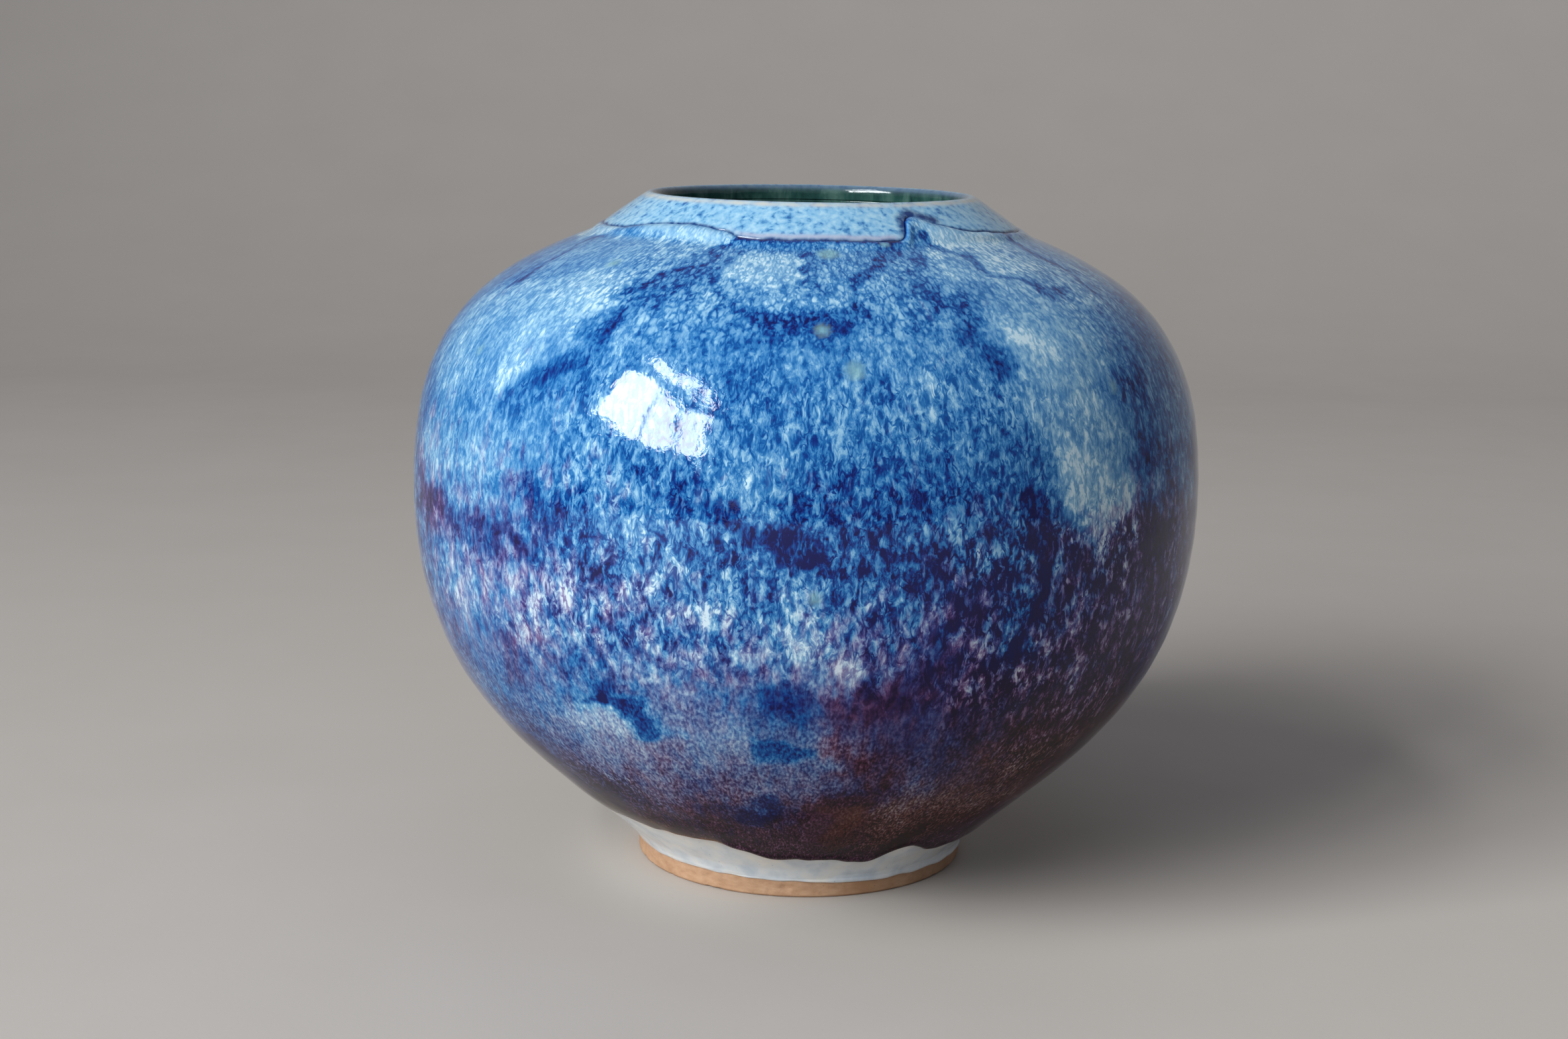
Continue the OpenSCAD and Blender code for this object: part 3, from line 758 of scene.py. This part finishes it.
def bare_clay():
    """Dry fired clay with grog, iron specks and a toasted flush."""
    m = Shader("dry_clay", IOR=1.45)
    place = m.place()
    body = m.noise(m.place((2, 2, 1)), 1.2, 4, 0.6)
    color = m.ramp(body, (0.3, (0.34, 0.19, 0.105)), (0.5, (0.40, 0.235, 0.135)), (0.7, (0.45, 0.275, 0.165)))
    flush = m.noise(place, 14.0, 2)
    color = m.mix(m.fit(flush, 0.45, 0.7, 0, 0.5), color, (0.26, 0.12, 0.05))
    color = m.mix(m.fit(m.cells(place, 1.7), 0.09, 0.04, 0, 0.7), color, (0.12, 0.065, 0.04))
    grit = m.bump(m.noise(place, 0.5, 3, 0.7), 0.06)
    normal = m.bump(m.noise(m.place((12, 12, 1)), 0.8, 2), 0.08, grit)
    return m.finish(color, m.fit(body, 0.3, 0.7, 0.72, 0.9), normal)


# ---------------------------------------------------------------- pieces

def blue_coat(material):
    """The blue glaze: a rolled lower edge on the white glaze and a crease under the collar."""
    azimuth = turn(ROUND)
    edge_points = draped.place(draped.at_height(13 * MM), azimuth, 0)
    edge = round_curve(azimuth, BLUE_EDGE) + 0.35 * wander(edge_points, 4 * MM, 11)
    start = draped.at_height(edge * MM)
    collar_points = draped.place(draped.at_height(146 * MM), azimuth, 0)
    line = round_curve(azimuth, COLLAR_LINE) + 0.12 * wander(collar_points, 4 * MM, 12)
    stop = draped.at_height(line * MM)
    share = spread_rows(172, 5, 4, 30)[:, None]
    s = start + (stop - start) * share
    points = draped.place(s, azimuth, blue_t)
    channels = paint(np.broadcast_to(azimuth, s.shape), s, points)

    from_edge = (s - start) / MM
    from_line = (stop - s) / MM
    thin = ease((edge - 14) / 2.0)                   # where the edge fades out instead of rolling
    roll = 1 - np.exp(-from_edge / (0.5 + 2.0 * thin))
    bead = (1 - thin) * 0.18 * np.exp(-((from_edge - 1.8) / 1.0) ** 2)
    crease = 1 - 0.6 * np.exp(-from_line / 0.5)
    relief = (0.84 * roll + bead) * crease
    relief += 0.05 * wander(points, 12 * MM, 8) * roll
    relief += 0.10 * (channels["tone"] - 0.5) * roll * crease
    tongue = ease((line / MM - 147) / 1.0) * 0.35 * np.exp(-((from_line - 2.2) / 2.0) ** 2)
    thickness = np.minimum(white_t / MM * (1 - roll) + relief, blue_t / MM) * MM + tongue * MM

    # Painted shade, partly pooled glaze: the blue darkens into the crease under the collar, widest at the
    # front.
    front = ease((azimuth + 0.38) / 0.08) * ease((0.42 - azimuth) / 0.08)
    channels["tone"] -= 0.55 * np.exp(-(from_line / (0.55 + 1.2 * front)) ** 2)
    channels["tone"] -= 0.16 * (1 - thin) * np.exp(-(from_edge / 1.2) ** 2)
    channels["warm"] += 0.6 * np.exp(-(from_edge / 2.0) ** 2)
    channels["rust_and_reflection"] += thin * 0.9 * np.exp(-(from_edge / 3.0) ** 2)
    channels["contrast"] *= 1 - 0.5 * np.exp(-(from_line / 1.0) ** 2)

    outer = draped.place(s, azimuth, thickness)
    back_rows = np.array(BLUE_BACK_ROWS)[:, None]
    back_s = start + (stop - start) * back_rows
    back = draped.place(back_s, azimuth, UNDER)
    grid = np.concatenate([outer, back])
    unseen = (len(back_rows), ROUND)
    values = {k: np.concatenate([v, np.broadcast_to(v[:1], unseen)]) for k, v in channels.items()}
    across, away, down = FLOW_R * np.sin(azimuth), -FLOW_R * np.cos(azimuth), np.concatenate([s, back_s])
    values["flow"] = np.stack(np.broadcast_arrays(across, away, down), axis=-1)
    return build("blue_pour", grid, "blue_glaze_coat", material, values=values)


def white_band(material):
    """The white glaze, with a lower edge that stands a little proud of the foot ring."""
    azimuth = turn(ROUND)
    foot_points = clay.place(clay.at_height(4 * MM), azimuth, 0)
    edge = round_curve(azimuth, WHITE_EDGE) + 0.16 * wander(foot_points, 5 * MM, 13)
    start = clay.at_height(edge * MM)
    stop = clay.at_height(20 * MM)
    s = start + (stop - start) * spread_rows(44, 5, 0, 8)[:, None]
    from_edge = (s - start) / MM
    points = clay.place(s, azimuth, 0)
    roll = np.sqrt(np.clip(1 - (1 - np.clip(from_edge / 0.7, 0, 1)) ** 2, 0, 1))
    thickness = (0.36 * roll + 0.14 * np.exp(-((from_edge - 0.9) / 0.7) ** 2) * roll
                 + 0.05 * wander(points, 6 * MM, 14) * roll) * MM
    thickness = np.minimum(thickness, 0.46 * MM)
    outer = clay.place(s, azimuth, thickness)
    back_rows = np.linspace(0.98, 0.02, 6)[:, None]
    back = clay.place(start + (stop - start) * back_rows, azimuth, 0.01 * MM)
    blue_start = clay.at_height(round_curve(azimuth, BLUE_EDGE) * MM)
    near_blue = np.exp(-np.clip(blue_start - s, 0, 1) / (1.6 * MM))
    blush = ease(np.interp(np.degrees(azimuth), [-100, -40, 0, 60], [1, 1, 0.35, 0.6]))
    low = np.exp(-from_edge / 0.5) * 0.7
    edge_value = np.clip(near_blue * blush + low, 0, 1)
    values = {"edge": np.concatenate([edge_value, np.zeros((len(back_rows), ROUND))])}
    return build("white_band", np.concatenate([outer, back]), "white_glaze_band",
                 material, values=values)


def collar_coat(material):
    """The glaze on the collar, from the crease at its foot over the lip."""
    azimuth = turn(ROUND)
    collar_points = clay.place(clay.at_height(146 * MM), azimuth, 0)
    line = round_curve(azimuth, COLLAR_LINE) + 0.12 * wander(collar_points, 4 * MM, 12)
    start = clay.at_height(line * MM)
    stop = inner_edge_s
    s = start + (stop - start) * spread_rows(84, 4, 0, 10)[:, None]
    from_line = (s - start) / MM
    from_crest = (s - crest_s) / MM
    points = clay.place(s, azimuth, 0)
    roll = np.sqrt(np.clip(1 - (1 - np.clip(from_line / 0.9, 0, 1)) ** 2, 0, 1))
    lip_thin = np.exp(-((from_crest + 1.0) / 0.8) ** 2)
    thickness = 0.25 + 0.38 * roll - 0.06 * lip_thin + 0.05 * wander(points, 7 * MM, 15)
    thickness = np.minimum(thickness * MM, collar_t)
    top_gap = collar_t * np.exp(-(from_crest / 1.2) ** 2)
    thickness = np.maximum(thickness, top_gap * 0.9)
    outer = clay.place(s, azimuth, thickness)
    back_rows = np.linspace(0.98, 0.02, 16)[:, None]
    back = clay.place(start + (stop - start) * back_rows, azimuth, UNDER)
    degrees = np.degrees(azimuth)
    front = ease((degrees + 24) / 8) * ease((25 - degrees) / 4)
    hook = 1 - distance(np.broadcast_to(degrees, s.shape), s, COLLAR_HOOK) / COLLAR_HOOK_WIDTH
    values = {
        "edge": np.clip(lip_thin * (0.75 + 0.25 * wander(points, 3 * MM, 16)), 0, 1),
        "blush": 0.75 * front * np.exp(-((from_line - 0.9) / 0.8) ** 2),
        # dark: at the collar's foot partly pooled glaze and partly painted shade in the crease; on the hook a
        # dark run
        "dark": np.maximum(np.exp(-(from_line / 0.5) ** 2), ease(hook)),
        "inside": ease((from_crest - 0.2) / 1.0),
        "rim": 0.8 * np.exp(-((from_crest - 0.6) / 0.6) ** 2),
    }
    unseen = np.zeros((len(back_rows), ROUND))
    values = {k: np.concatenate([v, unseen]) for k, v in values.items()}
    return build("collar_coat", np.concatenate([outer, back]), "collar_glaze",
                 material, values=values)


def liner_coat(material):
    """The glaze inside, from under the lip down to the middle of the floor."""
    azimuth = turn(HIDDEN_ROUND)
    share = spread_rows(150, 4, 0, 30)[:, None]
    s = inner_edge_s + (clay.length - inner_edge_s) * share
    s = np.broadcast_to(np.minimum(s, clay.length - 0.4 * MM), (len(share), HIDDEN_ROUND))
    height = clay.height(s)
    rings = 0.12 * np.sin(height / (1.6 * MM) + 2 * np.sin(azimuth + height / (30 * MM)))
    thickness = liner_t * (0.92 + 0.3 * rings * ease((lip_z - 8 * MM - height) / (20 * MM)))
    outer = clay.place(s, azimuth, np.minimum(thickness, liner_t))
    back = clay.place(s[::-4], azimuth, UNDER)
    return build("liner_coat", np.concatenate([outer[::-1], back[::-1]]), "liner_glaze",
                 material, poles=True)


def clay_body(material):
    """The thrown body that the glazes cover, open to view only in the well under the foot."""
    azimuth = turn(HIDDEN_ROUND)
    well_z = foot_top + 0.8 * MM
    well_r = np.linspace(0.3 * MM, foot_r - 0.02 * MM, 60)
    dome = np.interp(well_r, [0, foot_r - 7.6 * MM, foot_r], [well_z, foot_top, foot_top])
    spiral = 0.10 * MM * np.sin(well_r[:, None] / (0.5 * MM) + azimuth)
    inside_well = ease((foot_r - 8.5 * MM - well_r) / (1.5 * MM))[:, None]
    z = dome[:, None] + (spiral + 0.1 * MM) * inside_well
    r = np.broadcast_to(well_r[:, None], z.shape)
    well = np.stack([r * np.sin(azimuth), -r * np.cos(azimuth), z], axis=-1)
    joint = clay.at_height(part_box("collar_ring")[0].z + 2 * MM)
    outside = np.linspace(clay.at_height(foot_top + 0.1 * MM), joint, 90)[:, None]
    inside = np.linspace(crest_s + 10 * MM, clay.length - 0.3 * MM, 90)[:, None]
    return build("clay_body", np.concatenate([well, clay.place(outside, azimuth, 0),
                                              clay.place(inside, azimuth, 0)]),
                 "stoneware_body", material, poles=True)


def ring(azimuth, outline, worn=None):
    """Rows of points round the axis for a list of (radius, height) in metres."""
    rows = [np.stack([np.full_like(azimuth, r), np.full_like(azimuth, z)], axis=-1) for r, z in outline]
    rz = np.array(rows)
    if worn is not None:
        rz += worn
    return np.stack([rz[..., 0] * np.sin(azimuth), -rz[..., 0] * np.cos(azimuth), rz[..., 1]], axis=-1)


def foot(material):
    """The turned foot ring, with tool marks outside and a worn edge where it stands."""
    azimuth = turn(ROUND)
    inner_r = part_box("foot_ring")[1].x - FOOT_W
    outline = [(inner_r - 1 * MM + k * 0.1 * MM, foot_top - k * 0.42 * MM) for k in range(10)]
    outline += [(inner_r + 0.18 * MM, 0.18 * MM), (inner_r + 0.6 * MM, 0)]
    outline += [(inner_r + k * 0.55 * MM, 0) for k in range(2, 11)]
    outline += [(foot_r - 0.6 * MM, 0), (foot_r - 0.25 * MM, 0.12 * MM), (foot_r - 0.05 * MM, 0.45 * MM)]
    outline += [(foot_r - 0.02 * MM - 0.05 * MM * (k % 2), 0.6 * MM + k * 0.4 * MM) for k in range(11)]
    points = ring(azimuth, outline)
    chip = np.clip(wander(points, 3 * MM, 21) - 0.75, 0, 1)
    radii = np.array([r for r, z in outline])
    low = np.array([z for r, z in outline]) < 0.3 * MM
    worn = np.zeros(points.shape[:2] + (2,))
    worn[..., 0] = -chip * 0.5 * MM * (radii > foot_r - 1 * MM)[:, None]
    worn[..., 1] = chip * 0.25 * MM * low[:, None]
    return build("clay_foot", ring(azimuth, outline, worn), "foot_ring", material)


def collar_clay(material):
    """The collar's clay, which its glaze covers."""
    azimuth = turn(HIDDEN_ROUND)
    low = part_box("collar_ring")[0].z
    s = np.linspace(clay.at_height(low + 3 * MM), crest_s + 9.5 * MM, 60)[:, None]
    return build("clay_collar", clay.place(s, azimuth, -UNDER), "collar_ring",
                 material)


# ---------------------------------------------------------------- stage, light and camera

def sweep():
    """A pale floor that curves up into a backdrop."""
    m = Shader("pale_floor")
    place = m.place()
    color = m.mix(m.noise(place, 60.0, 4), (0.43, 0.39, 0.35), (0.46, 0.42, 0.38))
    normal = m.bump(m.noise(place, 1.5, 3), 0.02)
    material = m.finish(color, m.fit(m.noise(place, 20.0), 0, 1, 0.55, 0.7), normal)
    front, back, bend, top, half_width = -3.0, 1.6, 0.8, 3.0, 3.5
    line = [(front, 0.0), (back - bend, 0.0)]
    line += [(back - bend + bend * math.sin(a), bend - bend * math.cos(a))
             for a in np.linspace(0, math.pi / 2, 24)[1:]]
    line.append((back, top))
    verts = [(x, y, z) for y, z in line for x in (-half_width, half_width)]
    faces = [(2 * k, 2 * k + 1, 2 * k + 3, 2 * k + 2) for k in range(len(line) - 1)]
    mesh = bpy.data.meshes.new("sweep")
    mesh.from_pydata(verts, [], faces)
    mesh.shade_smooth()
    mesh.materials.append(material)
    floor = bpy.data.objects.new("sweep", mesh)
    bpy.context.scene.collection.objects.link(floor)


def area_light(name, centre, size, radiance, color, facing):
    """A rectangular light with a given radiance, facing along a direction."""
    data = bpy.data.lights.new(name, "AREA")
    data.shape = "RECTANGLE"
    data.size, data.size_y = size
    data.energy = math.pi * radiance * size[0] * size[1]
    data.color = color
    light = bpy.data.objects.new(name, data)
    light.location = centre
    light.rotation_euler = Vector(facing).to_track_quat("-Z", "Y").to_euler()
    bpy.context.scene.collection.objects.link(light)


def window_light():
    """Daylight from a barred window on the left, the only light with a shape."""
    wall_x = -1.4
    columns = [(-0.60, -1.22), (-1.27, -1.76), (-1.88, -2.32)]
    rows = [(0.68, 1.62, 23.0), (1.95, 2.32, 20.0)]
    for i, (y0, y1) in enumerate(columns):
        for j, (z0, z1, radiance) in enumerate(rows):
            area_light(f"pane_{i}_{j}", (wall_x, (y0 + y1) / 2, (z0 + z1) / 2),
                       (abs(y1 - y0), z1 - z0), radiance, (0.93, 0.97, 1.0), (1, 0, 0))


def world_light():
    """Even dim fill, so that the side away from the window stays readable."""
    world = bpy.data.worlds.new("studio")
    bpy.context.scene.world = world
    world.use_nodes = True
    background = world.node_tree.nodes["Background"]
    background.inputs["Color"].default_value = (0.80, 0.86, 1.0, 1)
    background.inputs["Strength"].default_value = 0.28


def camera():
    """A 35 mm lens on a 23.6 mm sensor, half a metre away and looking a little down."""
    data = bpy.data.cameras.new("camera")
    data.sensor_width = 23.6
    data.lens = 35.57
    data.clip_end = 50
    cam = bpy.data.objects.new("camera", data)
    tilt = Matrix.Rotation(math.radians(90 - 10.99), 4, "X")
    roll = Matrix.Rotation(math.radians(0.98), 4, "Z")
    cam.matrix_world = Matrix.Translation((-0.0048, -0.5393, 0.1832)) @ tilt @ roll
    bpy.context.scene.collection.objects.link(cam)
    bpy.context.scene.camera = cam


clay_material = bare_clay()
clay_body(clay_material)
foot(clay_material)
collar_clay(clay_material)
white_band(white_glaze())
blue_coat(blue_glaze())
collar_coat(collar_glaze())
liner_coat(liner_glaze())

sweep()
window_light()
world_light()
camera()
bpy.context.scene.view_settings.view_transform = "Standard"
